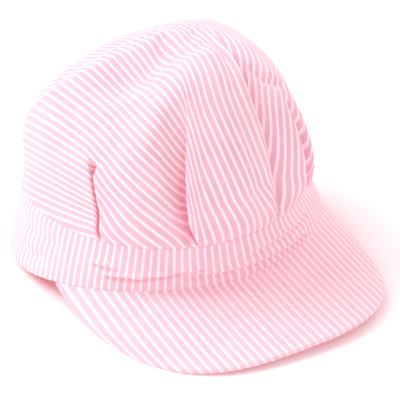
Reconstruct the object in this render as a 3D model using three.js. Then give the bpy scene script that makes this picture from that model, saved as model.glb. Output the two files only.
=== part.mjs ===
// A child's engineer cap: a soft crown pleated onto an upright band, with a stiff arched peak
// sewn to the band's front edge. Millimetres, +Z up. The peak points to -Y and the wearer's left
// is +X. Angles run round the cap in degrees, from the front (0) to the wearer's left (+90).
// The cap is first built level, with the front of the band's free edge at height 0, and then
// settled on the surface that it lies on.
import * as THREE from "three";

// Driving sizes
const rim = { halfWidth: 80, front: 83, back: 85 };      // outside of the band at its free edge
const seam = { halfWidth: 69.5, front: 84, back: 73 };   // outside of the band where the crown starts
const ovalPower = 0.96;          // 1 makes both outlines ellipses, less makes them squarer
const clothThickness = 2;        // crown wall, a doubled cloth
const bandThickness = 2.4;       // band wall, cloth folded over a stiffener
const gap = 0.3;                 // clearance between sewn pieces
const sideLean = 2.2;            // the settled cap leans this many degrees to the wearer's right
const standHeight = 13.7;        // from the floor to the level cap's height 0
const footprintMiddle = { x: 0.27, y: -27 };   // brought over the origin

// Height of the band's free edge and of its seam, round the cap
const bandRows = [
  { angle: -180, edge: -14, seam: 17 },
  { angle: -150, edge: -13.2, seam: 20 },
  { angle: -115, edge: -11.2, seam: 23.5 },
  { angle: -90, edge: -7, seam: 25 },
  { angle: -68, edge: -1.6, seam: 24.6 },
  { angle: -40, edge: 1.5, seam: 23.6 },
  { angle: 0, edge: 0, seam: 22.8 },
  { angle: 40, edge: 1.5, seam: 23.6 },
  { angle: 68, edge: -1.6, seam: 24.6 },
  { angle: 90, edge: -7, seam: 25 },
  { angle: 115, edge: -13.5, seam: 21.5 },
  { angle: 140, edge: -16.2, seam: 18.5 },
  { angle: 165, edge: -14.8, seam: 17 },
];

// Section of the band: how far its wall stands out from a straight line between edge and seam.
// The front is creased along its lower third, where the cloth is pushed in.
const bandSection = [
  { rise: 0, out: 0, creaseIn: 0 },
  { rise: 0.16, out: 0.5, creaseIn: 0 },
  { rise: 0.32, out: 0.8, creaseIn: 1 },
  { rise: 0.48, out: 1, creaseIn: 0.2 },
  { rise: 0.75, out: 0.9, creaseIn: 0 },
  { rise: 1, out: 0, creaseIn: 0 },
];
const crease = { depth: 1.6, middle: 0, reach: 75 };     // depth in mm, middle and half reach in degrees

// The peak
const peak = {
  joinAngle: 69,                 // it is sewn to the band from -69 to +69 degrees
  length: 107,                   // its outer edge's reach forward of its two corners
  cornerPower: 0.7,              // 1 makes the outer edge an ellipse, less makes it squarer
  thickness: 2.2,
  slope: 12,                     // fall at the band, degrees
  sideSlope: 5.5,                // extra fall at the sides, degrees
  curl: 0.0011,                  // how the fall eases outwards, per mm
  tuck: 2.2,                     // width of the margin under the band
  floorBend: 1.5,                // how softly it bends up where it would go under the floor
};

// The crown's lobes and the valleys between them, round the cap: how far the widest ring stands out
// from the seam, how high it lies above it, and how square the shoulder above it is (2 is round)
const crownRows = [
  { angle: -180, bulge: 0, rise: 21, shoulder: 2.35 },
  { angle: -140, bulge: -4, rise: 21, shoulder: 2.1 },
  { angle: -98, bulge: -3.5, rise: 24, shoulder: 2.3 },
  { angle: -55, bulge: -2.5, rise: 21, shoulder: 2.6 },
  { angle: -36, bulge: 2.5, rise: 22.5, shoulder: 2.25 },
  { angle: -17, bulge: 1, rise: 20, shoulder: 2.6 },
  { angle: 0, bulge: 6, rise: 24, shoulder: 2.4 },
  { angle: 17, bulge: -1.5, rise: 22, shoulder: 2.1 },
  { angle: 34, bulge: 7.5, rise: 18.5, shoulder: 2 },
  { angle: 52, bulge: -3, rise: 19, shoulder: 2.2 },
  { angle: 75, bulge: -1, rise: 19.5, shoulder: 2 },
  { angle: 99, bulge: -1, rise: 21, shoulder: 2.2 },
  { angle: 120, bulge: 5, rise: 21.5, shoulder: 2.3 },
  { angle: 140, bulge: 0, rise: 22, shoulder: 2.4 },
  { angle: 160, bulge: 5, rise: 22, shoulder: 2.4 },
];
const crownTop = { x: 17, y: 10.5, height: 93.5 };       // middle of the crown's cloth
const shoulderLift = 15.5;       // the shoulder's extra height at the front, and its drop at the back
const widestAt = 0.28;           // the widest ring's share of the way from seam to top

// The pleats, in order round the cap: the angle of each at even shares of the way from the seam to
// the top of the crown
const pleatCourses = [
  { seam: -141, second: -141, third: -141, fourth: -141, fifth: -141, top: -141 },
  { seam: -54.5, second: -53.5, third: -55.6, fourth: -57, fifth: -57, top: -57 },
  { seam: -16, second: -19, third: -18.5, fourth: -16, fifth: -10, top: -4 },
  { seam: 17, second: 16.5, third: 13.5, fourth: 11.5, fifth: 25, top: 60 },
  { seam: 41, second: 38, third: 36.5, fourth: 36.5, fifth: 53, top: 88 },
  { seam: 66, second: 66, third: 66, fourth: 68, fifth: 80, top: 109 },
  { seam: 98.5, second: 98, third: 97.5, fourth: 98, fifth: 107, top: 132 },
  { seam: 139.5, second: 139, third: 138.5, fourth: 138.5, fifth: 142, top: 155 },
  { seam: 179.5, second: 179, third: 179, fourth: 178.5, fifth: 178.5, top: 180 },
];

// Their shapes, in the same order: how far up the pleat reaches (share of the way to the top), depth
// and width of its groove, and height of the folded edge beside it, on the wearer's left of the
// groove or, if negative, the right
const pleats = [
  { reach: 0.54, depth: 3, width: 3.5, lap: -1.2 },
  { reach: 0.44, depth: 4.5, width: 2.6, lap: -1.2 },
  { reach: 0.66, depth: 3, width: 3.2, lap: 2.2 },
  { reach: 0.95, depth: 2.4, width: 4.5, lap: -1.6 },
  { reach: 0.62, depth: 2, width: 3.2, lap: 1.2 },
  { reach: 0.6, depth: 2.4, width: 3.5, lap: 1.2 },
  { reach: 0.6, depth: 3, width: 3.5, lap: 1.2 },
  { reach: 0.58, depth: 3, width: 3.5, lap: 1.2 },
  { reach: 0.58, depth: 3, width: 3.5, lap: 1.2 },
];

// Lines that the soft crown has taken, from point to point: height out of its smooth form, and half
// width there. The power shapes them: 1 gives a sharp ridge, 2 a soft one. They are measured on the
// crown's cloth laid flat as a disc, its top in the middle.
const clothRadius = 125;
const softLines = {
  shoulder: { power: 1, points: [
    { angle: -106, share: 0.42, height: 0, width: 9 },
    { angle: -96, share: 0.5, height: 3, width: 9 },
    { angle: -85, share: 0.635, height: 4, width: 9 },
    { angle: -74, share: 0.76, height: 4, width: 9 },
    { angle: -67, share: 0.84, height: 4, width: 9 },
    { angle: -57, share: 0.92, height: 3.3, width: 9 },
    { angle: -32, share: 0.97, height: 2.5, width: 9 },
    { angle: 60, share: 0.97, height: 1, width: 9 },
    { angle: 100, share: 0.93, height: 0, width: 9 },
  ] },
  fallBehindShoulder: { power: 2, points: [
    { angle: -124, share: 0.42, height: 0, width: 13 },
    { angle: -114, share: 0.5, height: -1, width: 13 },
    { angle: -108, share: 0.71, height: -2.8, width: 13 },
    { angle: -120, share: 0.85, height: -3, width: 13 },
    { angle: -156, share: 0.9, height: -2.2, width: 13 },
    { angle: 163, share: 0.88, height: -1.2, width: 13 },
    { angle: 130, share: 0.85, height: 0, width: 13 },
  ] },
  hollow: { power: 2, points: [
    { angle: -12, share: 0.95, height: -1, width: 7 },
    { angle: -21, share: 0.91, height: -4, width: 9 },
    { angle: -41, share: 0.83, height: -8, width: 10 },
    { angle: -49, share: 0.77, height: -8.5, width: 10 },
    { angle: -56, share: 0.65, height: -5, width: 10 },
    { angle: -57, share: 0.56, height: 0, width: 9 },
  ] },
  swell: { power: 2, points: [
    { angle: 0, share: 0.83, height: 0, width: 8 },
    { angle: -12, share: 0.69, height: 4.4, width: 10 },
    { angle: -25, share: 0.58, height: 6.2, width: 11 },
    { angle: -35, share: 0.45, height: 3, width: 10 },
    { angle: -38, share: 0.37, height: 0, width: 9 },
  ] },
  besideFrontPleat: { power: 2, points: [
    { angle: -20, share: 0.62, height: 0, width: 6 },
    { angle: -23.5, share: 0.45, height: -4, width: 6 },
    { angle: -22, share: 0.25, height: 0, width: 6 },
  ] },
};
const farthest = 3;              // a line is felt up to this many of its half widths away

// Mesh fineness
const bandColumns = 96;
const besidePleat = [0, 1.1, 2.6, 5];        // degrees from a pleat to the columns beside it
const openSpacing = 7;                       // degrees between the crown's other columns
const crownRings = 19;
const peakColumns = 40;
const peakSteps = 6;

const toRadians = THREE.MathUtils.degToRad;
const clamp = THREE.MathUtils.clamp;
const smoothstep = (x) => THREE.MathUtils.smoothstep(x, 0, 1);
const lerp = THREE.MathUtils.lerp;

// Signed difference between two angles, from -180 to 180
function turnFrom(angle, other) {
  return THREE.MathUtils.euclideanModulo(angle - other + 180, 360) - 180;
}

// Smooth value of a table's column at any angle; the table's rows go once round the cap
function around(rows, column, angle) {
  const count = rows.length;
  const wrapped = THREE.MathUtils.euclideanModulo(angle + 180, 360) - 180;
  let index = count - 1;
  while (rows[index].angle > wrapped) index -= 1;
  const at = (i) => rows[(i + count) % count];
  const angleAt = (i) => at(i).angle + 360 * Math.floor(i / count);
  const slope = (i) => (at(i + 1)[column] - at(i - 1)[column]) / (angleAt(i + 1) - angleAt(i - 1));
  const span = angleAt(index + 1) - angleAt(index);
  const t = (wrapped - angleAt(index)) / span;
  const start = at(index)[column];
  const end = at(index + 1)[column];
  const pull = (1 - t) * (start + t * (2 * start + span * slope(index)));
  const reach = t * (end + (1 - t) * (2 * end - span * slope(index + 1)));
  return (1 - t) * pull + t * reach;
}

// Point of a squared oval outline, seen from above, at an angle round the cap
function ovalPoint(outline, angle) {
  const side = Math.sin(toRadians(angle));
  const ahead = Math.cos(toRadians(angle));
  const depth = ahead > 0 ? outline.front : outline.back;
  const x = outline.halfWidth * Math.sign(side) * Math.abs(side) ** ovalPower;
  const y = -depth * Math.sign(ahead) * Math.abs(ahead) ** ovalPower;
  return new THREE.Vector2(x, y);
}

// The settled place of a point of the level cap: leaned over, lifted, flattened on the floor and
// centred on the origin
function settle(point) {
  const lean = toRadians(sideLean);
  const x = point.x * Math.cos(lean) - point.z * Math.sin(lean);
  const z = point.x * Math.sin(lean) + point.z * Math.cos(lean) + standHeight;
  return new THREE.Vector3(x - footprintMiddle.x, point.y - footprintMiddle.y, Math.max(z, 0));
}

// One closed skin through rings of equal length. A start or end tip closes it with a fan.
function skinThroughRings(rings, { startTip = null, endTip = null, roundAgain = false } = {}) {
  const positions = [];
  const triangles = [];
  const across = rings[0].length;
  rings.flat().forEach((point) => positions.push(...settle(point).toArray()));
  const pairs = roundAgain ? rings.length : rings.length - 1;
  for (let ring = 0; ring < pairs; ring += 1) {
    const next = (ring + 1) % rings.length;
    for (let step = 0; step < across; step += 1) {
      const beside = (step + 1) % across;
      const corner = ring * across + step;
      const cornerBeside = ring * across + beside;
      const above = next * across + step;
      const aboveBeside = next * across + beside;
      triangles.push(corner, cornerBeside, aboveBeside, corner, aboveBeside, above);
    }
  }
  const closeWith = (tip, ring, facesBack) => {
    const tipIndex = positions.length / 3;
    positions.push(...settle(tip).toArray());
    for (let step = 0; step < across; step += 1) {
      const here = ring * across + step;
      const beside = ring * across + ((step + 1) % across);
      if (facesBack) triangles.push(tipIndex, beside, here);
      else triangles.push(tipIndex, here, beside);
    }
  };
  if (startTip) closeWith(startTip, 0, true);
  if (endTip) closeWith(endTip, rings.length - 1, false);
  const geometry = new THREE.BufferGeometry();
  geometry.setAttribute("position", new THREE.Float32BufferAttribute(positions, 3));
  geometry.setIndex(triangles);
  geometry.computeVertexNormals();
  return geometry;
}

// The crown's smooth form without its pleats, at an angle and a share of the way up
function crownForm(angle, share) {
  const start = ovalPoint(seam, angle);
  const seamRadius = start.length();
  const outward = start.clone().normalize();
  const bulge = around(crownRows, "bulge", angle);
  const rise = around(crownRows, "rise", angle);
  const power = 2 / around(crownRows, "shoulder", angle);
  const seamHeight = around(bandRows, "seam", angle) + gap;
  if (share < widestAt) {
    const below = 1 - share / widestAt;
    const reach = seamRadius + bulge * (1 - below * below);
    return new THREE.Vector3(outward.x * reach, outward.y * reach, seamHeight + rise * (1 - below));
  }
  const turn = toRadians(90 * (share - widestAt) / (1 - widestAt));
  const reach = (seamRadius + bulge) * Math.abs(Math.cos(turn)) ** power;
  const lift = Math.sin(turn) ** power;
  const widestHeight = seamHeight + rise;
  const drift = Math.sin(turn);
  const far = reach / rim.halfWidth;
  const ahead = Math.cos(toRadians(angle));
  const tilt = shoulderLift * drift * far * ahead;
  return new THREE.Vector3(
    outward.x * reach + crownTop.x * drift * drift,
    outward.y * reach + crownTop.y * drift * drift,
    lerp(widestHeight, crownTop.height, lift) + tilt);
}

// Direction square to the crown's smooth form
function crownOutward(angle, share) {
  const turnStep = 3;
  const shareStep = 0.02;
  const round = crownForm(angle + turnStep, share).sub(crownForm(angle - turnStep, share));
  const low = Math.max(share - shareStep, 0);
  const high = Math.min(share + shareStep, 0.98);
  const up = crownForm(angle, high).sub(crownForm(angle, low));
  return round.cross(up).normalize();
}

// Smooth value along an open list of numbers, at a place from 0 (the first) to 1 (the last)
function along(values, place) {
  const last = values.length - 1;
  const index = clamp(Math.floor(place * last), 0, last - 1);
  const t = clamp(place * last - index, 0, 1);
  const start = values[index];
  const end = values[index + 1];
  const pull = (end - values[Math.max(index - 1, 0)]) / 2;
  const push = (values[Math.min(index + 2, last)] - start) / 2;
  return ((2 * t - 3) * t * t + 1) * start + (t - 2 * t * t + t * t * t) * pull
    + (3 - 2 * t) * t * t * end + (t - 1) * t * t * push;
}

function pleatAngle(index, share) {
  return along(Object.values(pleatCourses[index % pleatCourses.length]), share);
}

// How far the pleats push the crown's cloth in or out
function pleatHeight(angle, share) {
  const radius = crownForm(angle, share).setZ(0).length();
  let height = 0;
  pleats.forEach((pleat, index) => {
    const across = toRadians(turnFrom(angle, pleatAngle(index, share))) * radius;
    const opens = smoothstep(share / 0.1);
    const fades = 1 - smoothstep(share / pleat.reach);
    const groove = -pleat.depth * Math.exp(-((across / pleat.width) ** 2));
    const lapSide = clamp(across * Math.sign(pleat.lap) / pleat.width + 0.5, 0, 1);
    const fallsOff = Math.exp(-Math.abs(across) / (5 * pleat.width));
    height += opens * fades * (groove + Math.abs(pleat.lap) * lapSide * fallsOff);
  });
  return height;
}

// Place on the crown's cloth laid flat as a disc
function onDisc(angle, share) {
  const away = (1 - share) * clothRadius;
  return new THREE.Vector2(away * Math.sin(toRadians(angle)), away * Math.cos(toRadians(angle)));
}

// How far the soft lines push it in or out; each counts once, where it comes nearest
function softHeight(angle, share) {
  const here = onDisc(angle, share);
  let height = 0;
  for (const line of Object.values(softLines)) {
    let nearest = Infinity;
    let tall = 0;
    for (let i = 1; i < line.points.length; i += 1) {
      const start = line.points[i - 1];
      const end = line.points[i];
      const from = onDisc(start.angle, start.share);
      const run = onDisc(end.angle, end.share).sub(from);
      const t = clamp(here.clone().sub(from).dot(run) / run.lengthSq(), 0, 1);
      const away = here.distanceTo(from.addScaledVector(run, t)) / lerp(start.width, end.width, t);
      if (away < nearest) {
        nearest = away;
        tall = lerp(start.height, end.height, t);
      }
    }
    if (nearest < farthest) height += tall * Math.exp(-(nearest ** line.power));
  }
  return height;
}

function crownPoint(angle, share, inset) {
  const point = crownForm(angle, share);
  if (share === 0) {
    const outward = ovalPoint(seam, angle).normalize();
    return point.addScaledVector(new THREE.Vector3(outward.x, outward.y, 0), -inset);
  }
  const height = pleatHeight(angle, share) + softHeight(angle, share);
  return point.addScaledVector(crownOutward(angle, share), height - inset);
}

// Angles of the crown's columns at a share of the way up. They close in on each pleat and follow it.
function columnAngles(share) {
  const angles = [];
  const near = besidePleat.at(-1);
  const spanAfter = (index, at) => (
    THREE.MathUtils.euclideanModulo(pleatAngle(index + 1, at) - pleatAngle(index, at), 360));
  pleats.forEach((pleat, index) => {
    const start = pleatAngle(index, share);
    const span = spanAfter(index, share);
    const openCount = Math.round((spanAfter(index, 0) - 2 * near) / openSpacing);
    const offsets = [...besidePleat];
    for (let i = 1; i < openCount; i += 1) offsets.push(lerp(near, span - near, i / openCount));
    besidePleat.slice(1).reverse().forEach((offset) => offsets.push(span - offset));
    offsets.forEach((offset) => angles.push(start + offset));
  });
  return angles;
}

function crownGeometry() {
  const ring = (share, inset) => columnAngles(share).map((angle) => crownPoint(angle, share, inset));
  const shares = Array.from({ length: crownRings }, (_, i) => i / crownRings);
  const inside = shares.map((share) => ring(share, clothThickness));
  const outside = shares.map((share) => ring(share, 0));
  const topHeight = crownTop.height + softHeight(0, 1);
  const top = new THREE.Vector3(crownTop.x, crownTop.y, topHeight);
  const underTop = top.clone().setZ(topHeight - clothThickness);
  return skinThroughRings([...inside.reverse(), ...outside], { startTip: underTop, endTip: top });
}

// Point of the band's wall at an angle, a share of the way up, and a depth into the wall
function bandPoint(angle, row, inset) {
  const low = ovalPoint(rim, angle);
  const high = ovalPoint(seam, angle);
  const place = low.clone().lerp(high, row.rise);
  const nearCrease = 1 - smoothstep(Math.abs(angle - crease.middle) / crease.reach);
  const out = row.out - crease.depth * row.creaseIn * nearCrease;
  const outward = place.clone().normalize();
  place.addScaledVector(outward, out - inset);
  const edge = around(bandRows, "edge", angle);
  const top = around(bandRows, "seam", angle);
  return new THREE.Vector3(place.x, place.y, lerp(edge, top, row.rise));
}

function bandGeometry() {
  const rings = [];
  for (let column = 0; column < bandColumns; column += 1) {
    const angle = -180 + 360 * column / bandColumns;
    const outside = bandSection.map((row) => bandPoint(angle, row, 0));
    const inside = bandSection.map((row) => bandPoint(angle, row, bandThickness));
    rings.push([...inside, ...outside.reverse()]);
  }
  return skinThroughRings(rings, { roundAgain: true });
}

// Height of the peak's upper face at a place in front of the band, level cap
function peakHeight(place) {
  const side = Math.min(Math.abs(place.x) / rim.halfWidth, 1) ** (1 / ovalPower);
  const angle = THREE.MathUtils.radToDeg(Math.asin(side));
  const rimReach = rim.front * Math.cos(toRadians(angle)) ** ovalPower;
  const ahead = Math.max(-place.y - rimReach, 0);
  const aside = Math.abs(place.x) / ovalPoint(rim, peak.joinAngle).x;
  const fall = toRadians(peak.slope + peak.sideSlope * aside * aside);
  return around(bandRows, "edge", angle) - gap - Math.tan(fall) * ahead + peak.curl * ahead * ahead;
}

// A point of the peak's upper face, raised where the settled peak would go under the floor
function keptOffFloor(point) {
  const lean = toRadians(sideLean);
  const stands = point.x * Math.sin(lean) + point.z * Math.cos(lean) + standHeight - peak.thickness;
  const share = clamp((stands + peak.floorBend) / (2 * peak.floorBend), 0, 1);
  const wanted = stands > peak.floorBend ? stands : peak.floorBend * share * share;
  return point.clone().setZ(point.z + (wanted - stands) / Math.cos(lean));
}

// Section of the peak from the margin under the band to its outer edge, upper face then lower face.
// The way runs from -1 at the wearer's right corner to 1 at the left one.
function peakSection(way) {
  const corner = ovalPoint(rim, peak.joinAngle);
  const turn = way * Math.PI / 2;
  const bow = Math.sign(way) * Math.abs(Math.sin(turn)) ** peak.cornerPower;
  const reach = Math.abs(Math.cos(turn)) ** peak.cornerPower;
  const outer = new THREE.Vector2(corner.x * bow, corner.y - peak.length * reach);
  const angle = way * peak.joinAngle;
  const sewn = ovalPoint(rim, angle);
  const margin = sewn.clone().multiplyScalar(1 - peak.tuck / sewn.length());
  const upper = [new THREE.Vector3(margin.x, margin.y, around(bandRows, "edge", angle) - gap)];
  for (let step = 0; step <= peakSteps; step += 1) {
    const place = sewn.clone().lerp(outer, step / peakSteps);
    upper.push(keptOffFloor(new THREE.Vector3(place.x, place.y, peakHeight(place))));
  }
  const lower = upper.map((point) => point.clone().setZ(point.z - peak.thickness));
  return [...upper, ...lower.reverse()];
}

function peakGeometry() {
  const ways = Array.from({ length: peakColumns - 1 }, (_, i) => -1 + 2 * (i + 1) / peakColumns);
  const sections = ways.map(peakSection);
  const cornerTip = (side) => {
    const place = ovalPoint(rim, side * peak.joinAngle);
    const height = around(bandRows, "edge", side * peak.joinAngle) - gap - peak.thickness / 2;
    return new THREE.Vector3(place.x, place.y, height);
  };
  return skinThroughRings(sections, { startTip: cornerTip(-1), endTip: cornerTip(1) });
}

function cloth(colour) {
  return new THREE.MeshStandardMaterial({ color: colour, roughness: 0.9, metalness: 0 });
}

function piece(name, geometry, colour) {
  const mesh = new THREE.Mesh(geometry, cloth(colour));
  mesh.name = name;
  return mesh;
}

const cap = new THREE.Group();
cap.add(piece("crown", crownGeometry(), 0xf3c9da));
cap.add(piece("band", bandGeometry(), 0xf0bfd2));
cap.add(piece("peak", peakGeometry(), 0xf4cddc));

export default cap;
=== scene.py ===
# A child's engineer cap in pink and white pin-striped cotton: a full crown pleated onto an upright
# band, and a stiff arched peak. Shapes are worked out in millimetres on the level cap, then settled
# on the floor and put down in metres. Angles run round the cap in degrees, from the front (0) to
# the wearer's left (+90).
import math

import bmesh
import bpy
from mathutils import Matrix, Vector, noise


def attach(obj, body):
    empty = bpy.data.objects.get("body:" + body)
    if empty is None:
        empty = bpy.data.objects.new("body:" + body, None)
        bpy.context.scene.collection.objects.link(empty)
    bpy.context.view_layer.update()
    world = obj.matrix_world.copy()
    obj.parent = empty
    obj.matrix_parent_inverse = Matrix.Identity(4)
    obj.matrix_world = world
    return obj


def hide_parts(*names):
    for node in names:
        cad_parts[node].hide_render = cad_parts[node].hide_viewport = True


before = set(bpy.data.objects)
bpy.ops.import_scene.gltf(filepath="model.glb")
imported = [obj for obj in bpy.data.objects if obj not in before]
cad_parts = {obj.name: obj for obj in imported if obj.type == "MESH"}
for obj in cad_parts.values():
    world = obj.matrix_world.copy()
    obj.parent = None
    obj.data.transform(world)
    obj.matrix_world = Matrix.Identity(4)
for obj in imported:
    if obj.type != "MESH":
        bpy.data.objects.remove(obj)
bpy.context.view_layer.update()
print("frame loaded")

millimetre = 0.001
weldWithin = 0.01               # mm: points nearer than this are the same point


# A table's rows as dictionaries, under the names of its columns
def tableOf(columns, rows):
    names = columns.split()
    return [dict(zip(names, row)) for row in rows]


def clamp(value, low=0.0, high=1.0):
    return max(low, min(high, value))


def smoothstep(value):
    t = clamp(value)
    return t * t * (3 - 2 * t)


def lerp(start, end, share):
    return start + (end - start) * share


# Turn from one angle to another, -180 to 180
def turnFrom(angle, other):
    return (angle - other + 180) % 360 - 180


# Sizes that the three pieces share
cap = {
    "rim": {"halfWidth": 80, "front": 83, "back": 85},         # band's outside at its free edge
    "seam": {"halfWidth": 69.5, "front": 84, "back": 73},      # and where the crown starts
    "ovalPower": 0.96,          # under 1 squares the ovals a little
    "gap": 0.3,                 # between sewn pieces
    "sideLean": 2.2,            # degrees that the settled cap leans to the wearer's right
    "standHeight": 13.7,        # height of the level cap's zero over the floor once it has settled
    "footprintX": 0.27,         # middle of the settled cap's footprint
    "footprintY": -27,
    "stripePitch": 3.85,
}

# Heights of the band's free edge and of its seam with the crown
bandRows = tableOf("angle edge seam", [
    (-180, -14, 17), (-150, -13.2, 20), (-115, -11.2, 23.5), (-90, -7, 25), (-68, -1.6, 24.6),
    (-40, 1.5, 23.6), (0, 0, 22.8), (40, 1.5, 23.6), (68, -1.6, 24.6), (90, -7, 25),
    (115, -13.5, 21.5), (140, -16.2, 18.5), (165, -14.8, 17),
])


# Smooth value of a table's column at any angle; the rows go once round the cap
def around(rows, column, angle):
    count = len(rows)
    wrapped = (angle + 180) % 360 - 180
    index = count - 1
    while rows[index]["angle"] > wrapped:
        index -= 1

    def angleAt(i):
        return rows[i % count]["angle"] + 360 * (i // count)

    def valueAt(i):
        return rows[i % count][column]

    def slope(i):
        return (valueAt(i + 1) - valueAt(i - 1)) / (angleAt(i + 1) - angleAt(i - 1))

    span = angleAt(index + 1) - angleAt(index)
    t = (wrapped - angleAt(index)) / span
    start, end = valueAt(index), valueAt(index + 1)
    leaving = (1 - t) * (start + t * (2 * start + span * slope(index)))
    coming = t * (end + (1 - t) * (2 * end - span * slope(index + 1)))
    return (1 - t) * leaving + t * coming


# Smooth value along an open list of numbers, at a place counted in entries
def along(values, place):
    last = len(values) - 1
    index = int(clamp(math.floor(place), 0, last - 1))
    t = clamp(place - index)
    before = values[max(index - 1, 0)]
    start, end = values[index], values[index + 1]
    after = values[min(index + 2, last)]
    pull = (end - before) / 2
    push = (after - start) / 2
    return ((2 * t - 3) * t * t + 1) * start + (t - 2 * t * t + t * t * t) * pull \
        + (3 - 2 * t) * t * t * end + (t - 1) * t * t * push


# Point of an oval outline that has its own half width, front and back
def ovalPoint(outline, angle):
    side = math.sin(math.radians(angle))
    ahead = math.cos(math.radians(angle))
    depth = outline["front"] if ahead > 0 else outline["back"]
    x = outline["halfWidth"] * math.copysign(abs(side) ** cap["ovalPower"], side)
    y = -depth * math.copysign(abs(ahead) ** cap["ovalPower"], ahead)
    return Vector((x, y))


# From the level cap in millimetres to the settled one in metres
def settle(point):
    lean = math.radians(cap["sideLean"])
    x = point.x * math.cos(lean) - point.z * math.sin(lean) - cap["footprintX"]
    z = point.x * math.sin(lean) + point.z * math.cos(lean) + cap["standHeight"]
    return Vector((x, point.y - cap["footprintY"], max(z, 0))) * millimetre


# A piece of cloth from a grid: place(column, row) gives the level cap's point in millimetres and the
# flat pattern's point. Opposite sides of the grid that meet are sewn together.
def clothFromGrid(name, columns, rows, place, flip=False):
    mesh = bmesh.new()
    bmesh.ops.create_grid(mesh, x_segments=columns, y_segments=rows, size=0.5)
    flat = mesh.loops.layers.uv.new("cloth")
    where = {}
    for vert in mesh.verts:
        column = round((vert.co.x + 0.5) * columns)
        row = round((vert.co.y + 0.5) * rows)
        point, pattern = place(column, row)
        vert.co = settle(point)
        where[vert] = pattern
    for face in mesh.faces:
        face.smooth = True
        for loop in face.loops:
            loop[flat].uv = where[loop.vert]
    bmesh.ops.remove_doubles(mesh, verts=mesh.verts[:], dist=weldWithin * millimetre)
    if flip:
        bmesh.ops.reverse_faces(mesh, faces=mesh.faces[:])
    data = bpy.data.meshes.new(name)
    mesh.to_mesh(data)
    mesh.free()
    made = bpy.data.objects.new(name, data)
    bpy.context.scene.collection.objects.link(made)
    return made


crown = {
    "topX": 17, "topY": 10.5,   # how far the top has drifted to the wearer's left and back
    "topHeight": 93.5,
    "shoulderLift": 15.5,       # extra height of the shoulder at the front, and drop at the back
    "widestAt": 0.28,           # share of the way from seam to top
    "rows": 112,                # of the grid, from seam to top
    "columnsPerFold": 34,
    "openSpacing": 1.7,         # degrees between the columns that aren't in a fold
    "foldHalf": 14,             # half of a fold's strip of columns, mm at the widest ring
    "foldRadius": 75,           # radius at which a fold's strip is measured
    "fullFoldRadius": 55,       # where the ring is smaller than this, folds are shallower
    "meridian": 125,            # length of the cloth from seam to top, about
    "wall": 0.9,
    "turnIn": 0.7,              # the cloth turns in by this much at the seam
    "sewnIn": 1.2,              # and goes down into the band by this much
    "softness": 0.35,           # small unevenness of the cloth, mm
    "hiddenTake": 0.7,          # at the seam all gathered cloth is used where this share is elsewhere
    "hiddenUpTo": 0.45,         # and up to this share of the way that gets less and less
    "liftsBy": 0.07,            # share of the way up at which folds stand at their full height
    "poleFrom": 0.88,           # from here on, height counts more and more straight up
    "lumpScale": 0.03,          # lumps of the uneven cloth to a millimetre
    "lineEnds": 3,              # half widths away from a pressed line at which nothing is left of it
    "turnStep": 3,              # degrees and share of the way over which the form's slope is taken
    "shareStep": 0.02,
    "slopeUpTo": 0.98,          # the slope is taken no nearer to the top than this
    "grainTurn": 2.7,           # degrees that the stripes are turned
    "grainFront": -0.7,         # added to that at the front, taken off it at the back
    "grainSide": -5.6,          # added to it at the wearer's left, taken off it at the right
}

# The crown's smooth form: how far it bulges out over the seam, how high it rises to its widest, and
# the power of its shoulder (2 is an ellipse, more is squarer)
crownRows = tableOf("angle bulge rise shoulder", [
    (-180, 0, 21, 2.35), (-140, -4, 21, 2.1), (-98, -3.5, 24, 2.3), (-55, -2.5, 21, 2.6),
    (-36, 2.5, 22.5, 2.25), (-17, 1, 20, 2.6), (0, 6, 24, 2.4), (17, -1.5, 22, 2.1),
    (34, 7.5, 18.5, 2), (52, -3, 19, 2.2), (75, -1, 19.5, 2), (99, -1, 21, 2.2),
    (120, 5, 21.5, 2.3), (140, 0, 22, 2.4), (160, 5, 22, 2.4),
])

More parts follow.
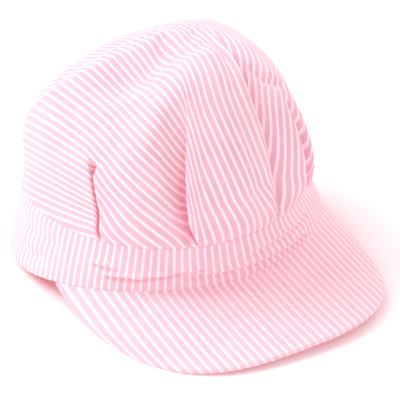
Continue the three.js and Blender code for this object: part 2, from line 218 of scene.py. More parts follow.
# Sections of the folds: across (mm towards the wearer's left), sewn (the same at the seam, where
# the fold is flat), height (mm out of the crown) and taken (share of the gathered cloth used so far)
foldSections = {
    "tuck": tableOf("across sewn height taken", [
        (-14, -14, 0, 0), (-9, -9, 0.3, 0), (-5.6, -5, 0.8, 0), (-3.2, -2.6, 1.1, 0),
        (-2.3, -1.2, 1.05, 0), (-1.9, -0.6, 0.7, 0.03), (-1.9, -0.4, -0.1, 0.1),
        (-2.8, -0.2, -3, 0.28), (-3.6, 0, -6.8, 0.5), (-2.1, 0.1, -9.4, 0.62), (0.1, 0.3, -6, 0.74),
        (0.3, 0.8, -1.4, 0.82), (0, 1.4, 0.2, 0.86), (0.4, 1.9, 0.8, 0.89), (2.1, 3.2, 1, 0.94),
        (5.5, 5.5, 0.7, 0.98), (9, 9, 0.3, 1), (14, 14, 0, 1),
    ]),
    "lap": tableOf("across sewn height taken", [
        (-14, -14, 0, 0), (-10, -10, -0.6, 0), (-6.4, -6.4, -1.7, 0), (-3, -3, -3.8, 0),
        (-0.8, -1, -6.8, 0), (1.5, -0.2, -8.6, 0.12), (2.2, 0, -4.2, 0.3), (0.7, 0.1, -0.4, 0.45),
        (-0.3, 0.2, 0.8, 0.6), (-0.5, 0.3, 1.6, 0.68), (-0.1, 0.6, 2.2, 0.73), (0.9, 1.2, 2.4, 0.78),
        (2.4, 2.4, 2.3, 0.85), (4.4, 4.4, 2, 0.93), (7, 7, 1.5, 1), (10.5, 10.5, 0.7, 1),
        (14, 14, 0, 1),
    ]),
    "step": tableOf("across sewn height taken", [
        (-14, -14, 0, 0), (-9, -9, 1, 0), (-5, -5, 1.9, 0), (-2.2, -2.2, 2.2, 0.03),
        (-0.7, -0.8, 2, 0.1), (0.1, -0.1, 1.3, 0.2), (0.2, 0.1, 0.2, 0.35), (0, 0.3, -0.8, 0.5),
        (0.2, 0.5, -1.6, 0.65), (0.9, 1, -2.1, 0.8), (2.2, 2.2, -2.3, 0.9), (4.2, 4.2, -2.1, 0.96),
        (6.5, 6.5, -1.6, 1), (8.5, 8.5, -1.1, 1), (10.5, 10.5, -0.6, 1), (12.2, 12.2, -0.2, 1),
        (14, 14, 0, 1),
    ]),
}

# Folds in order round the crown: width of the strip against the others, how far up the fold holds
# and where it has run out, how far up its cloth stays pinched together, how strong it is, and the
# gathered cloth it takes (degrees of the flat disc) with the share of the way up at which that has
# run out
folds = tableOf("section wide holds reach pinchedTo strength gathers gathersTo", [
    ("lap", 1, 0.1, 0.54, 0.54, 0.8, 13.5, 0.55),
    ("tuck", 1, 0.33, 0.4, 0.43, 1, 23.5, 0.52),
    ("lap", 1, 0.27, 0.6, 0.75, 1.35, 15.5, 0.88),
    ("step", 0.8, 0.72, 0.94, 0.98, 1.3, 17.5, 0.92),
    ("lap", 0.7, 0.3, 0.62, 0.62, 0.7, 12, 0.62),
    ("lap", 1, 0.1, 0.6, 0.6, 0.8, 23.5, 0.62),
    ("lap", 1, 0.1, 0.6, 0.6, 0.8, 17, 0.63),
    ("lap", 1, 0.1, 0.58, 0.58, 0.8, 22, 0.58),
    ("lap", 1, 0.1, 0.58, 0.58, 0.8, 18.5, 0.59),
])

# The angle each fold lies at, at even shares of the way from seam to top
foldCourses = tableOf("seam second third fourth fifth top", [
    (-141, -141, -141, -141, -141, -141),
    (-54.5, -53.5, -55.6, -57, -57, -57),
    (-16, -19, -18.5, -16, -10, -4),
    (17, 16.5, 13.5, 11.5, 25, 60),
    (41, 38, 36.5, 36.5, 53, 88),
    (66, 66, 66, 68, 80, 109),
    (98.5, 98, 97.5, 98, 107, 132),
    (139.5, 139, 138.5, 138.5, 142, 155),
    (179.5, 179, 179, 178.5, 178.5, 180),
])

# Lines pressed into the crown, from point to point: height (out of the crown) and half width there.
# The power shapes them: 1 gives a sharp ridge, 2 a soft one.
crownLines = [
    {"power": 1, "points": tableOf("angle share height width", [        # shoulder at the wearer's right
        (-106, 0.42, 0, 9), (-96, 0.5, 3, 9), (-89.5, 0.57, 4, 9), (-85, 0.635, 4, 9),
        (-79, 0.69, 4, 9), (-74, 0.76, 4, 9), (-67, 0.84, 4, 9), (-57, 0.92, 3.3, 9),
        (-32, 0.97, 2.5, 9), (60, 0.97, 1, 9), (100, 0.93, 0, 9),
    ])},
    {"power": 2, "points": tableOf("angle share height width", [        # fall behind it
        (-124, 0.42, 0, 13), (-114, 0.5, -1, 13), (-110, 0.61, -2.4, 13), (-108, 0.71, -2.8, 13),
        (-120, 0.85, -3, 13), (-156, 0.9, -2.2, 13), (163, 0.88, -1.2, 13), (130, 0.85, 0, 13),
    ])},
    {"power": 2, "points": tableOf("angle share height width", [        # hollow above the front fold
        (-12, 0.95, -1, 7), (-21, 0.91, -4, 9), (-30, 0.87, -6.5, 10), (-41, 0.83, -8, 10),
        (-49, 0.77, -8.5, 10), (-54, 0.71, -7.5, 10), (-56, 0.65, -5, 10), (-57, 0.56, 0, 9),
    ])},
    {"power": 2, "points": tableOf("angle share height width", [        # swell below the hollow
        (0, 0.83, 0, 8), (-6, 0.76, 2.6, 9), (-12, 0.69, 4.4, 10), (-18, 0.63, 5.8, 11),
        (-25, 0.58, 6.2, 11), (-31, 0.52, 5.6, 11), (-35, 0.45, 3, 10), (-38, 0.37, 0, 9),
    ])},
    {"power": 2, "points": tableOf("angle share height width", [        # valley beside the front fold
        (-20, 0.62, 0, 6), (-22.5, 0.54, -3.2, 6), (-23.5, 0.45, -4, 6), (-23, 0.35, -2.5, 6),
        (-22, 0.25, 0, 6),
    ])},
    {"power": 2, "points": tableOf("angle share height width", [        # crease at the wearer's left
        (23, 0.69, 0, 2), (26, 0.66, -2.4, 2), (28, 0.62, -3, 2.2), (31, 0.6, -2.8, 2.2),
        (34, 0.58, -2, 2), (38, 0.56, 0, 2),
    ])},
]


# How far the crown's ring at a share of the way up reaches out at an angle
def crownReach(angle, share):
    seamRadius = ovalPoint(cap["seam"], angle).length
    bulge = around(crownRows, "bulge", angle)
    if share < crown["widestAt"]:
        below = 1 - share / crown["widestAt"]
        return seamRadius + bulge * (1 - below * below)
    turn = math.pi / 2 * (share - crown["widestAt"]) / (1 - crown["widestAt"])
    return (seamRadius + bulge) * abs(math.cos(turn)) ** (2 / around(crownRows, "shoulder", angle))


# The crown's smooth form, without its folds
def crownForm(angle, share):
    outward = ovalPoint(cap["seam"], angle).normalized()
    reach = crownReach(angle, share)
    rise = around(crownRows, "rise", angle)
    seamHeight = around(bandRows, "seam", angle) + cap["gap"]
    if share < crown["widestAt"]:
        height = seamHeight + rise * share / crown["widestAt"]
        return Vector((outward.x * reach, outward.y * reach, height))
    turn = math.pi / 2 * (share - crown["widestAt"]) / (1 - crown["widestAt"])
    lift = math.sin(turn) ** (2 / around(crownRows, "shoulder", angle))
    drift = math.sin(turn)
    tilt = crown["shoulderLift"] * drift * reach / cap["rim"]["halfWidth"] * math.cos(math.radians(angle))
    return Vector((
        outward.x * reach + crown["topX"] * drift * drift,
        outward.y * reach + crown["topY"] * drift * drift,
        lerp(seamHeight + rise, crown["topHeight"], lift) + tilt))


# Direction straight out of the crown's smooth form
def crownOutward(angle, share):
    turnStep, shareStep, highest = crown["turnStep"], crown["shareStep"], crown["slopeUpTo"]
    sideways = crownForm(angle + turnStep, share) - crownForm(angle - turnStep, share)
    low = max(min(share, highest) - shareStep, 0)
    high = min(share + shareStep, highest)
    up = crownForm(angle, high) - crownForm(angle, low)
    return sideways.cross(up).normalized()


# Half of the angle that a fold's strip of columns takes
def foldHalf(fold):
    return math.degrees(crown["foldHalf"] * fold["wide"] / crown["foldRadius"])


# The angles between two neighbouring folds' strips: where they start, and how far they run
def openPart(number, share):
    after = (number + 1) % len(folds)
    start = foldAngle(number, share) + foldHalf(folds[number])
    return start, (foldAngle(after, share) - foldHalf(folds[after]) - start) % 360


# The crown's columns: which fold each belongs to, and its place in the fold or between folds
def crownColumns():
    columns = []
    for index in range(len(folds)):
        inFold = crown["columnsPerFold"]
        for i in range(inFold):
            columns.append({"fold": index, "place": i / inFold, "open": None})
        openCount = max(1, round(openPart(index, 0)[1] / crown["openSpacing"]))
        for i in range(openCount):
            columns.append({"fold": index, "place": None, "open": i / openCount})
    return columns


# The angle of a fold, by its number in the tables, at a share of the way up
def foldAngle(number, share):
    course = list(foldCourses[number].values())
    return along(course, share * (len(course) - 1))


# A column inside a fold: its angle, its height out of the smooth form, and the share of the gathered
# cloth used up to it
def foldColumn(number, place, share):
    fold = folds[number]
    section = foldSections[fold["section"]]
    fades = smoothstep((share - fold["holds"]) / (fold["reach"] - fold["holds"]))
    strength = fold["strength"] * (1 - fades)
    spreads = smoothstep((share - fold["holds"]) / (fold["pinchedTo"] - fold["holds"]))
    pinched = min(1, fold["strength"] * (1 - spreads))
    entry = place * (len(section) - 1)
    lifted = smoothstep(share / crown["liftsBy"])
    across = lerp(along([row["sewn"] for row in section], entry),
                  along([row["across"] for row in section], entry), lifted)
    height = along([row["height"] for row in section], entry)
    taken = along([row["taken"] for row in section], entry)
    taken = lerp(min(1, taken / crown["hiddenTake"]), taken,
                 smoothstep(share / crown["hiddenUpTo"]))
    even = crown["foldHalf"] * (2 * place - 1)
    across = lerp(even, across, pinched) * fold["wide"]
    angle = foldAngle(number, share) + math.degrees(across / crown["foldRadius"])
    narrows = min(1, crownReach(angle, share) / crown["fullFoldRadius"])
    return angle, height * strength * lifted * narrows, taken


# Place on the crown's cloth laid flat as a disc, the top in its middle
def onDisc(angle, share):
    away = (1 - share) * crown["meridian"]
    return Vector((away * math.sin(math.radians(angle)), away * math.cos(math.radians(angle))))


# Height of the pressed lines at a place: each line counts once, where it comes nearest
def lineHeight(angle, share):
    here = onDisc(angle, share)
    height = 0
    for line in crownLines:
        nearest = None
        for start, end in zip(line["points"], line["points"][1:]):
            run = end["spot"] - start["spot"]
            t = clamp((here - start["spot"]).dot(run) / run.length_squared)
            away = (here - start["spot"] - run * t).length / lerp(start["width"], end["width"], t)
            if nearest is None or away < nearest:
                nearest = away
                tall = lerp(start["height"], end["height"], t)
        if nearest < crown["lineEnds"]:
            height += tall * math.exp(-nearest ** line["power"])
    return height


def makeCrown():
    columns = crownColumns()
    rows = crown["rows"]
    count = len(columns)
    for line in crownLines:
        for entry in line["points"]:
            entry["spot"] = onDisc(entry["angle"], entry["share"])
    grid = []
    for column in columns:
        number = column["fold"]
        strip = []
        for row in range(rows + 1):
            share = row / rows
            if column["open"] is None:
                angle, height, taken = foldColumn(number, column["place"], share)
            else:
                start, span = openPart(number, share)
                angle = start + span * column["open"]
                height, taken = 0, 1
            form = crownForm(angle, share)
            height += lineHeight(angle, share)
            lump = noise.noise(form * crown["lumpScale"])
            height += crown["softness"] * lump * smoothstep(share / crown["liftsBy"])
            poleShare = smoothstep((share - crown["poleFrom"]) / (1 - crown["poleFrom"]))
            outward = crownOutward(angle, share).lerp(Vector((0, 0, 1)), poleShare)
            point = form + outward.normalized() * height
            if row == 0:
                inward = Vector((form.x, form.y, 0)).normalized()
                point = form - inward * crown["turnIn"] - Vector((0, 0, crown["sewnIn"]))
            strip.append({"point": point, "form": form, "angle": angle, "taken": taken, "share": share})
        grid.append(strip)

    # the flat pattern: lengths down from the top along each column, and the turn of the cloth there
    pattern = []
    for column, strip in zip(columns, grid):
        downs = [0.0]
        for row in range(rows, 0, -1):
            downs.append(downs[-1] + (strip[row]["form"] - strip[row - 1]["form"]).length)
        downs.reverse()
        spots = []
        for spot, down in zip(strip, downs):
            facing = math.radians(spot["angle"])
            turn = spot["angle"] + crown["grainTurn"] + crown["grainFront"] * math.cos(facing) \
                + crown["grainSide"] * math.sin(facing)
            for number, fold in enumerate(folds):
                gathers = fold["gathers"] * (1 - smoothstep(spot["share"] / fold["gathersTo"]))
                off = turnFrom(spot["angle"], foldAngle(number, spot["share"])) / 360
                if column["fold"] == number and column["open"] is None:
                    step = spot["taken"]
                else:
                    step = 1 if off > 0 else 0
                turn += gathers * (step - 0.5 - off)
            spots.append(Vector((down * math.sin(math.radians(turn)),
                                 down * math.cos(math.radians(turn)))))
        pattern.append(spots)

    def place(column, row):
        column = column % count
        return grid[column][row]["point"], pattern[column][row]

    made = clothFromGrid("crown_cloth", count, rows, place)
    wall = made.modifiers.new("wall", "SOLIDIFY")       # inwards
    wall.thickness = crown["wall"] * millimetre
    wall.offset = -1
    return made


crownCloth = makeCrown()
print("crown made")


band = {
    "wall": 2.4,
    "columns": 420,
    "outerRows": 34,
    "innerRows": 10,
    "edgeRows": 6,              # round the folded edges
    "edgePower": 0.5,           # 1 rounds the edges fully, less makes them squarer
    "ease": 0.5,                # how far the wall stands out where it does most
    "easeCourse": [0, 0.5, 0.8, 1, 1, 0.9, 0.6, 0.3, 0],       # share of that from edge to seam
    "stripeLean": 2.4,          # how far a stripe leans over from edge to seam, mm
    "softness": 0.35,           # unevenness of the cloth, mm, and its lumps to a millimetre
    "lumpScale": 0.045,
    "radius": 78,               # mean radius and height, for creases and the flat pattern
    "height": 24,
    "creaseEnd": 2.5,           # how far a crease runs out past its ends, mm
    "lip": 0.55,                # height of the lip over each crease, share of the crease's depth
    "lipAway": 2.4,             # how far the lip is from it and how wide, in half widths of it
    "lipWidth": 1.6,
}

# Creases pressed into the band: start and end (angle, rise), depth, half width
creases = tableOf("fromAngle fromRise toAngle toRise depth width", [
    (-53, 0.5, -47, 0.46, 1.8, 1),
    (-47, 0.28, -37, 0.27, 2.6, 0.9),
    (-37, 0.27, -27, 0.34, 2.8, 0.9),
    (-27, 0.34, -15, 0.45, 2.4, 1),
    (-20, 0.29, -15, 0.27, 1.4, 2.6),
    (-17, 0.24, -4, 0.2, 2, 1.3),
    (-4, 0.2, 30, 0.08, 1.6, 1.4),
    (5, 0.5, 34, 0.52, 1.6, 1.6),
    (-125, 0.62, -74, 0.66, 1.2, 2.6),
    (-125, 0.24, -80, 0.3, 1.2, 2.6),
    (45, 0.5, 80, 0.45, 1, 2),
])


# How deep a crease lies at a place of the band, less the lip that stands over it
def creaseDepth(angle, rise):
    def spot(turn, up):
        return Vector((math.radians(turnFrom(turn, 0)) * band["radius"], up * band["height"]))

    here = spot(angle, rise)
    depth = 0
    for crease in creases:
        start = spot(crease["fromAngle"], crease["fromRise"])
        course = spot(crease["toAngle"], crease["toRise"]) - start
        share = (here - start).dot(course) / course.length_squared
        past = max(abs(share - 0.5) - 0.5, 0) * course.length
        above = course.normalized().cross(here - start) / crease["width"]
        fades = math.exp(-(past / band["creaseEnd"]) ** 2)
        groove = math.exp(-above * above)
        lip = band["lip"] * math.exp(-((above - band["lipAway"]) / band["lipWidth"]) ** 2)
        depth += crease["depth"] * fades * (groove - lip)
    return depth


# The band's section goes up its outside, over the top edge, down the inside and round the free edge
def makeBand():
    ease = band["easeCourse"]
    spots = []
    outer, inner, edge = band["outerRows"], band["innerRows"], band["edgeRows"]
    radius = band["wall"] / 2
    for i in range(outer):
        spots.append(("wall", i / outer, 0))
    for i in range(edge):
        spots.append(("top", 1, math.pi * i / edge))
    for i in range(inner):
        spots.append(("wall", 1 - i / inner, band["wall"]))
    for i in range(edge):
        spots.append(("bottom", 0, math.pi * i / edge))
    count = len(spots)
    columns = band["columns"]

    def place(column, row):
        angle = -180 + 360 * (column % columns) / columns
        kind, rise, depth = spots[row % count]
        low = ovalPoint(cap["rim"], angle)
        high = ovalPoint(cap["seam"], angle)
        bottom = around(bandRows, "edge", angle) + radius
        top = around(bandRows, "seam", angle) - radius
        if kind == "top":
            inset = radius * (1 - math.cos(depth))
            beyond = radius * math.sin(depth) ** band["edgePower"]
        elif kind == "bottom":
            inset = radius * (1 + math.cos(depth))
            beyond = -radius * math.sin(depth) ** band["edgePower"]
        else:
            inset, beyond = depth, 0
        across = low.lerp(high, rise)
        outward = across.normalized()
        out = along(ease, rise * (len(ease) - 1)) * band["ease"]
        level = Vector((across.x, across.y, rise * band["height"]))
        lump = noise.noise(level * band["lumpScale"]) * band["softness"]
        out += lump * math.sin(math.pi * rise)
        if kind == "wall" and depth == 0:
            out -= creaseDepth(angle, rise)
        across = across + outward * (out - inset)
        height = lerp(bottom, top, rise) + beyond
        flat = Vector((math.radians(angle) * band["radius"] + band["stripeLean"] * rise,
                       rise * band["height"] + inset + abs(beyond)))
        return Vector((across.x, across.y, height)), flat

    return clothFromGrid("band_cloth", columns, count, place)


bandCloth = makeBand()
print("band made")


peak = {
    "joinAngle": 69,            # where its corners meet the band
    "length": 107,              # from its corners to its front
    "cornerPower": 0.7,         # under 1 makes its outline squarer than an ellipse
    "thickness": 2.1,
    "thinUnder": 6,             # where it is narrower than this, it gets thinner, mm
    "edgeInset": 0.8,           # its faces stop this share of half its thickness short of its edge
    "slope": 12,                # degrees down from the band in the middle, and more at the corners
    "sideSlope": 5.5,
    "curl": 0.0011,             # it levels out: height gained, over the square of the way ahead
    "tuck": 2.2,                # margin that goes in under the band
    "sewnUp": 0.7,              # its inner edge stands up into the band's lower edge
    "floorBend": 1.5,           # how softly it bends up where it would go under the floor
    "columns": 150,
    "steps": 70,                # from the band to the outer edge
    "edgeSteps": 6,
    "underSteps": 24,
    "grainTurn": -1.3,          # degrees that its stripes are turned
    "outlineStep": 0.01,        # over which the outer edge's direction is taken
}


# Angle, to either side, at which the band's free edge is straight behind a place
def peakAngle(place):
    side = min(abs(place.x) / cap["rim"]["halfWidth"], 1) ** (1 / cap["ovalPower"])
    return math.degrees(math.asin(side))


# How far a place lies in front of the band
def peakAhead(place):
    rimReach = cap["rim"]["front"] * math.cos(math.radians(peakAngle(place))) ** cap["ovalPower"]
    return max(-place.y - rimReach, 0)


# Height of the peak's upper face on the level cap
def peakHeight(place):
    angle = peakAngle(place)
    ahead = peakAhead(place)
    aside = abs(place.x) / ovalPoint(cap["rim"], peak["joinAngle"]).x
    fall = math.radians(peak["slope"] + peak["sideSlope"] * aside * aside)
    return around(bandRows, "edge", angle) - cap["gap"] - math.tan(fall) * ahead \
        + peak["curl"] * ahead * ahead


# Height of the peak's upper face, raised where the settled peak would go under the floor
def peakTop(place):
    lean = math.radians(cap["sideLean"])
    height = peakHeight(place) + peak["sewnUp"] * math.exp(-peakAhead(place) / peak["sewnUp"])
    stands = place.x * math.sin(lean) + height * math.cos(lean) + cap["standHeight"] - peak["thickness"]
    share = clamp((stands + peak["floorBend"]) / (2 * peak["floorBend"]))
    wanted = stands if stands > peak["floorBend"] else peak["floorBend"] * share * share
    return height + (wanted - stands) / math.cos(lean)


# The peak's outer edge, from its corner at the wearer's right (-1) to the one at the left (+1)
def peakOutline(way):
    corner = ovalPoint(cap["rim"], peak["joinAngle"])
    turn = way * math.pi / 2
    bow = math.copysign(abs(math.sin(turn)) ** peak["cornerPower"], way)
    reach = max(math.cos(turn), 0) ** peak["cornerPower"]
    return Vector((corner.x * bow, corner.y - peak["length"] * reach))


# Direction straight out of the outer edge
def outlineOutward(way):
    step = peak["outlineStep"]
    course = peakOutline(min(way + step, 1)) - peakOutline(max(way - step, -1))
    return Vector((course.y, -course.x)).normalized()


# The peak's section goes from the band over its upper face, round its edge and back underneath
def makePeak():
    columns, steps, edge, under = peak["columns"], peak["steps"], peak["edgeSteps"], peak["underSteps"]
    radius = peak["thickness"] / 2
    spots = [("margin", 0, 0)]
    spots += [("face", i / steps, 0) for i in range(steps)]
    spots += [("rim", 1, math.pi * i / edge) for i in range(edge)]
    spots += [("face", 1 - i / under, 1) for i in range(under)]
    spots += [("face", 0, 1), ("margin", 0, 1)]
    count = len(spots)
    grain = Matrix.Rotation(math.radians(peak["grainTurn"]), 2)

    def place(column, row):
        way = math.sin(math.pi / 2 * (2 * column / columns - 1))
        outer = peakOutline(way)
        angle = way * peak["joinAngle"]
        sewn = ovalPoint(cap["rim"], angle)
        kind, share, side = spots[row % count]
        width = (outer - sewn).length
        thin = min(1, width / peak["thinUnder"])

        def down(depth):
            return -radius - (depth - radius) * thin

        if kind == "margin":
            spot = sewn * (1 - peak["tuck"] * thin / sewn.length)
            height = around(bandRows, "edge", angle) - cap["gap"] + peak["sewnUp"] \
                + down(side * peak["thickness"])
            return Vector((spot.x, spot.y, height)), grain @ spot
        inset = radius * peak["edgeInset"]
        edgePlace = outer - outlineOutward(way) * inset * thin
        if kind == "rim":
            outwards = outlineOutward(way)
            spot = edgePlace + outwards * inset * math.sin(side) * thin
            height = peakTop(edgePlace) + down(radius * (1 - math.cos(side)))
            flat = edgePlace + outwards * radius * side
            return Vector((spot.x, spot.y, height)), grain @ flat
        spot = sewn.lerp(edgePlace, share)
        height = peakTop(spot) + down(side * peak["thickness"])
        return Vector((spot.x, spot.y, height)), grain @ spot

    return clothFromGrid("peak_cloth", columns, count, place, flip=True)


peakCloth = makePeak()
print("peak made")


class Wire:
    # a socket that Python arithmetic can be done on
    nodes = None
    links = None

    def __init__(self, socket):
        self.socket = socket

    @classmethod
    def use(cls, kind, settings=None, out=0, **sockets):
        node = cls.nodes.new(kind)
        for name, value in (settings or {}).items():
            setattr(node, name, value)
        for name, value in sockets.items():
            key = int(name[1:]) if name[0] == "i" and name[1:].isdigit() else name.replace("_", " ")
            cls.feed(node.inputs[key], value)
        return cls(node.outputs[out])

    @classmethod
    def feed(cls, socket, value):
        if isinstance(value, Wire):
            cls.links.new(value.socket, socket)
        else:
            socket.default_value = value

    def math(self, operation, other=0.0, swap=False):
        first, second = (other, self) if swap else (self, other)
        return Wire.use("ShaderNodeMath", {"operation": operation}, i0=first, i1=second)

    def __add__(self, other):
        return self.math("ADD", other)

    def __sub__(self, other):
        return self.math("SUBTRACT", other)

    def __mul__(self, other):
        return self.math("MULTIPLY", other)

    def __truediv__(self, other):
        return self.math("DIVIDE", other)

    def __radd__(self, other):
        return self.math("ADD", other, swap=True)

    def __rsub__(self, other):
        return self.math("SUBTRACT", other, swap=True)

    def __rmul__(self, other):
        return self.math("MULTIPLY", other, swap=True)

    def part(self, low, high):
        # 0 below low, 1 above high, smooth between
        return Wire.use("ShaderNodeMapRange", {"interpolation_type": "SMOOTHSTEP"},
                        Value=self, From_Min=low, From_Max=high)

    def wave(self):
        return self.math("SINE")

    def fraction(self):
        return self.math("FRACT")

    def size(self):
        return self.math("ABSOLUTE")


def flatNoise(place, scale, detail):
    return Wire.use("ShaderNodeTexNoise", {"noise_dimensions": "2D"}, Vector=place, Scale=scale,
                    Detail=detail)


def mixColours(share, first, second, blend="MIX"):
    return Wire.use("ShaderNodeMix", {"data_type": "RGBA", "blend_type": blend}, out=2,
                    i0=share, i6=first, i7=second)


# A screen colour, 0 to 255, as the shader takes it
def linear(red, green, blue):
    def one(value):
        value /= 255
        return value / 12.92 if value <= 0.04045 else ((value + 0.055) / 1.055) ** 2.4
    return (one(red), one(green), one(blue), 1)


cotton = {
    "pink": linear(198, 187, 202),
    "white": linear(248, 240, 243),
    "paler": linear(209, 197, 210),
    "whiteShare": 0.34,         # of the pitch
    "edge": 0.045,              # softness of a stripe's edge, and how ragged it is, share of the pitch
    "ragged": 0.012,
    "wander": 0.22,             # mm that a stripe strays, how often, and how finely
    "wanderScale": 0.9,
    "wanderDetail": 2.0,
    "broadScale": 0.06,         # broad patches in which the pink is paler
    "broadFrom": 0.35, "broadTo": 0.7,
    "threadsScale": 1.4,        # and single threads that are
    "threadsFrom": 0.3, "threadsTo": 0.75,
    "threadsPaler": 0.6,
    "paleDetail": 3.0,
    "thread": 0.42,             # pitch of the weave, mm
    "weaveHeight": 0.00008,     # m
    "bump": 0.5,
    "bumpWeave": 0.5, "bumpThreads": 0.8,
    "darkest": 0.93,            # shade in the weave's hollows
    "uneven": 1.2,              # how much uneven threads count in it
    "roughness": 0.85,
    "gloss": 0.2,
    "fuzz": 0.25, "fuzzRoughness": 0.5,
    "glow": 0.3,                # light that goes into the cloth and comes out nearby
    "glowDepth": 0.0015,        # m
    "glowReach": (1, 0.2, 0.3),
    "through": (1, 0.08, 0.13, 1),  # painted red glow, no lamp: it lifts the cloth's shade towards deep pink, standing in for light that comes through the cloth from behind
    "throughStrength": 0.25,
}


# Striped cloth, worked out on the flat pattern: u runs across the stripes and v along them, in mm
def stripedCotton(name, stripeShift, washed):
    material = bpy.data.materials.new(name)
    material.use_nodes = True
    tree = material.node_tree
    tree.nodes.clear()
    Wire.nodes, Wire.links = tree.nodes, tree.links
    flat = Wire.use("ShaderNodeUVMap", {"uv_map": "cloth"})
    sides = tree.nodes.new("ShaderNodeSeparateXYZ")
    Wire.feed(sides.inputs[0], flat)
    u, v = Wire(sides.outputs[0]), Wire(sides.outputs[1])
    thread = 2 * math.pi / cotton["thread"]
    wander = flatNoise(flat, cotton["wanderScale"], cotton["wanderDetail"])
    wavering = (wander - 0.5) * cotton["wander"]
    phase = ((u + wavering) / cap["stripePitch"] + stripeShift).fraction()
    fromMiddle = (phase - 0.5).size()
    halfWhite = cotton["whiteShare"] / 2
    weaveU, weaveV = (u * thread).wave(), (v * thread).wave()
    weave = weaveU * weaveV
    ragged = fromMiddle + weaveV * cotton["ragged"]
    pinkness = ragged.part(halfWhite - cotton["edge"], halfWhite + cotton["edge"])
    broad = flatNoise(flat, cotton["broadScale"], cotton["paleDetail"])
    threads = flatNoise(flat, cotton["threadsScale"], cotton["paleDetail"])
    patches = broad.part(cotton["broadFrom"], cotton["broadTo"])
    paleThreads = threads.part(cotton["threadsFrom"], cotton["threadsTo"]) * cotton["threadsPaler"]
    pink = mixColours(patches, cotton["pink"], cotton["paler"])
    pink = mixColours(paleThreads, pink, cotton["paler"])
    # Painted light: the pink mixed towards white, so that the band and peak look more brightly lit
    pink = mixColours(washed, pink, cotton["white"])
    colour = mixColours(pinkness, cotton["white"], pink)
    uneven = cotton["uneven"]
    shade = Wire.use("ShaderNodeMapRange", Value=weave + (threads - 0.5) * uneven,
                     From_Min=-uneven, From_Max=uneven, To_Min=cotton["darkest"], To_Max=1.0)
    grey = Wire.use("ShaderNodeCombineColor", Red=shade, Green=shade, Blue=shade)
    colour = mixColours(1.0, colour, grey, "MULTIPLY")
    bump = Wire.use("ShaderNodeBump", Strength=cotton["bump"], Distance=cotton["weaveHeight"],
                    Height=weave * cotton["bumpWeave"] + threads * cotton["bumpThreads"])
    # The emission is a painted red glow, no lamp, that lifts the cloth's shaded parts towards deep pink
    shader = Wire.use("ShaderNodeBsdfPrincipled", Base_Color=colour, Roughness=cotton["roughness"],
                      Normal=bump, Specular_IOR_Level=cotton["gloss"],
                      Sheen_Weight=cotton["fuzz"], Sheen_Roughness=cotton["fuzzRoughness"],
                      Subsurface_Weight=cotton["glow"], Subsurface_Scale=cotton["glowDepth"],
                      Subsurface_Radius=cotton["glowReach"], Emission_Color=cotton["through"],
                      Emission_Strength=cotton["throughStrength"])
    out = tree.nodes.new("ShaderNodeOutputMaterial")
    Wire.feed(out.inputs[0], shader)
    return material


# stripeShift (shares of the pitch) and washed (how far the pink is painted paler towards white, standing
# in for brighter light on the band and peak) per piece
cloths = tableOf("made node stripeShift washed", [
    (crownCloth, "crown", 0.0, 0.0), (bandCloth, "band", 0.87, 0.1), (peakCloth, "peak", 0.56, 0.2),
])
for cloth in cloths:
    name = "striped_cotton_" + cloth["node"]
    cloth["made"].data.materials.append(stripedCotton(name, cloth["stripeShift"], cloth["washed"]))
    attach(cloth["made"], "root")
    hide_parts(cloth["node"])
print("cloth finished")


# Floor, light and camera
studio = {
    "floorSize": 20,
    "floorHeight": -0.0001,     # just under the cap, so that no faces coincide
    "floorColour": (0.94, 0.985, 0.98, 1),
    "floorRoughness": 0.9,
    "floorPaintedGlow": 0.03,          # painted warm glow of the floor, no lamp: it lifts the floor's shadows and tints them pink
    "floorPaintedGlowColour": (1, 0.55, 0.5, 1),
    "skyColour": (1, 0.8, 0.83, 1),
    "skyStrength": 0.9,
    "lampAim": (0, 0, 0.05),
    "keyPlace": (-0.9, 0.85, 1.45), "keySize": 1.4, "keyPower": 21.5, "keyColour": (0.88, 1, 1),
    "fillPlace": (-1.2, -1.4, 0.6), "fillSize": 1.4, "fillPower": 5,
    "backPlace": (1.5, 0.6, 0.9), "backSize": 1.2, "backPower": 7.5,
    "cameraPlace": (-0.298, -0.6017, 0.3732),
    "cameraAim": (0.0122, 0.0094, 0.0238),
    "cameraRoll": 2.71,         # degrees
    "lens": 136, "film": 36,    # mm
    "nearest": 0.01,            # what the camera still sees, m
}


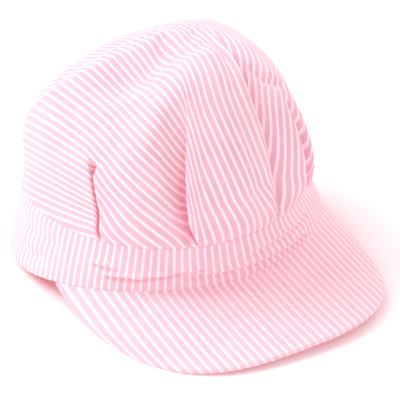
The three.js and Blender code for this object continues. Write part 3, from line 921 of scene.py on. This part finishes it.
def lamp(name, place, size, power, colour=(1, 1, 1)):
    light = bpy.data.lights.new(name, "AREA")
    light.color = colour
    light.shape = "DISK"
    light.size = size
    light.energy = power
    holder = bpy.data.objects.new(name, light)
    holder.location = place
    aim = Vector(studio["lampAim"]) - Vector(place)
    holder.rotation_euler = aim.to_track_quat("-Z", "Y").to_euler()
    bpy.context.scene.collection.objects.link(holder)


mesh = bmesh.new()
bmesh.ops.create_grid(mesh, x_segments=1, y_segments=1, size=studio["floorSize"] / 2)
bmesh.ops.translate(mesh, verts=mesh.verts[:], vec=(0, 0, studio["floorHeight"]))
floorMesh = bpy.data.meshes.new("floor")
mesh.to_mesh(floorMesh)
mesh.free()
floor = bpy.data.objects.new("floor", floorMesh)
bpy.context.scene.collection.objects.link(floor)
floorPaper = bpy.data.materials.new("white_paper")
floorPaper.use_nodes = True
paper = floorPaper.node_tree.nodes["Principled BSDF"]
paper.inputs["Base Color"].default_value = studio["floorColour"]
paper.inputs["Roughness"].default_value = studio["floorRoughness"]
paper.inputs["Specular IOR Level"].default_value = 0.0
# The floor's painted warm glow, which tints its shadows pink
paper.inputs["Emission Color"].default_value = studio["floorPaintedGlowColour"]
paper.inputs["Emission Strength"].default_value = studio["floorPaintedGlow"]
floorMesh.materials.append(floorPaper)

world = bpy.data.worlds.new("studio")
bpy.context.scene.world = world
world.use_nodes = True
world.node_tree.nodes["Background"].inputs["Color"].default_value = studio["skyColour"]
world.node_tree.nodes["Background"].inputs["Strength"].default_value = studio["skyStrength"]
lamp("key", studio["keyPlace"], studio["keySize"], studio["keyPower"], studio["keyColour"])
lamp("fill", studio["fillPlace"], studio["fillSize"], studio["fillPower"])
lamp("back", studio["backPlace"], studio["backSize"], studio["backPower"])

cameraData = bpy.data.cameras.new("camera")
cameraData.lens = studio["lens"]
cameraData.sensor_width = studio["film"]
cameraData.clip_start = studio["nearest"]
camera = bpy.data.objects.new("camera", cameraData)
look = Vector(studio["cameraAim"]) - Vector(studio["cameraPlace"])
turned = look.to_track_quat("-Z", "Y").to_matrix().to_4x4()
roll = Matrix.Rotation(math.radians(-studio["cameraRoll"]), 4, "Z")
camera.matrix_world = Matrix.Translation(studio["cameraPlace"]) @ turned @ roll
bpy.context.scene.collection.objects.link(camera)
bpy.context.scene.camera = camera
bpy.context.scene.view_settings.view_transform = "Standard"
print("scene set")
